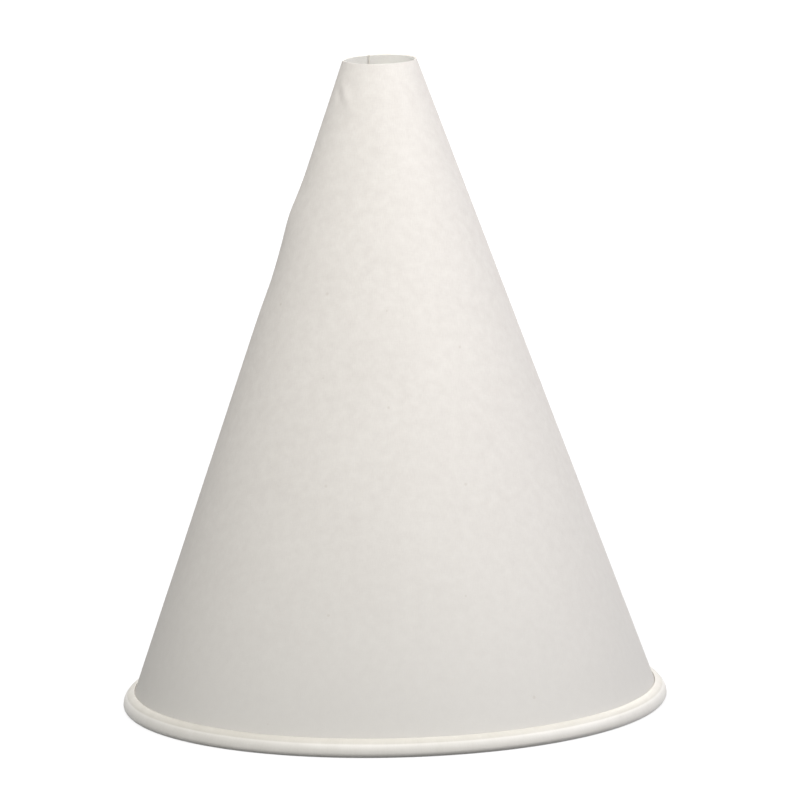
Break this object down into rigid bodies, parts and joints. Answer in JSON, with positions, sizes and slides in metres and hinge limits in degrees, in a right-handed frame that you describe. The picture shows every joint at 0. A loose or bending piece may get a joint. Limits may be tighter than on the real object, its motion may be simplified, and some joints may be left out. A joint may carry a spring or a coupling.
{
  "type": "cone paper cup",
  "caption": "Cone-shaped paper cup rolled from one sheet, with a glued lap seam, an outward rolled rim and a small open end where the tip is cut off; stands on its rim with the tip up.",
  "frame": {"origin": "middle of the rolled rim, on the plane that the cup stands on", "axes": "+Z along the cone's axis towards the cut tip, -Y towards the side that the picture shows, +Y towards the lap seam"},
  "size_m": [0.097, 0.097, 0.1156],
  "materials": {
    "paper": "off-white, uncoated look with a faint wax sheen"
  },
  "bodies": {
    "root": {"cone_cup": "paper"}
  },
  "joints": []
}
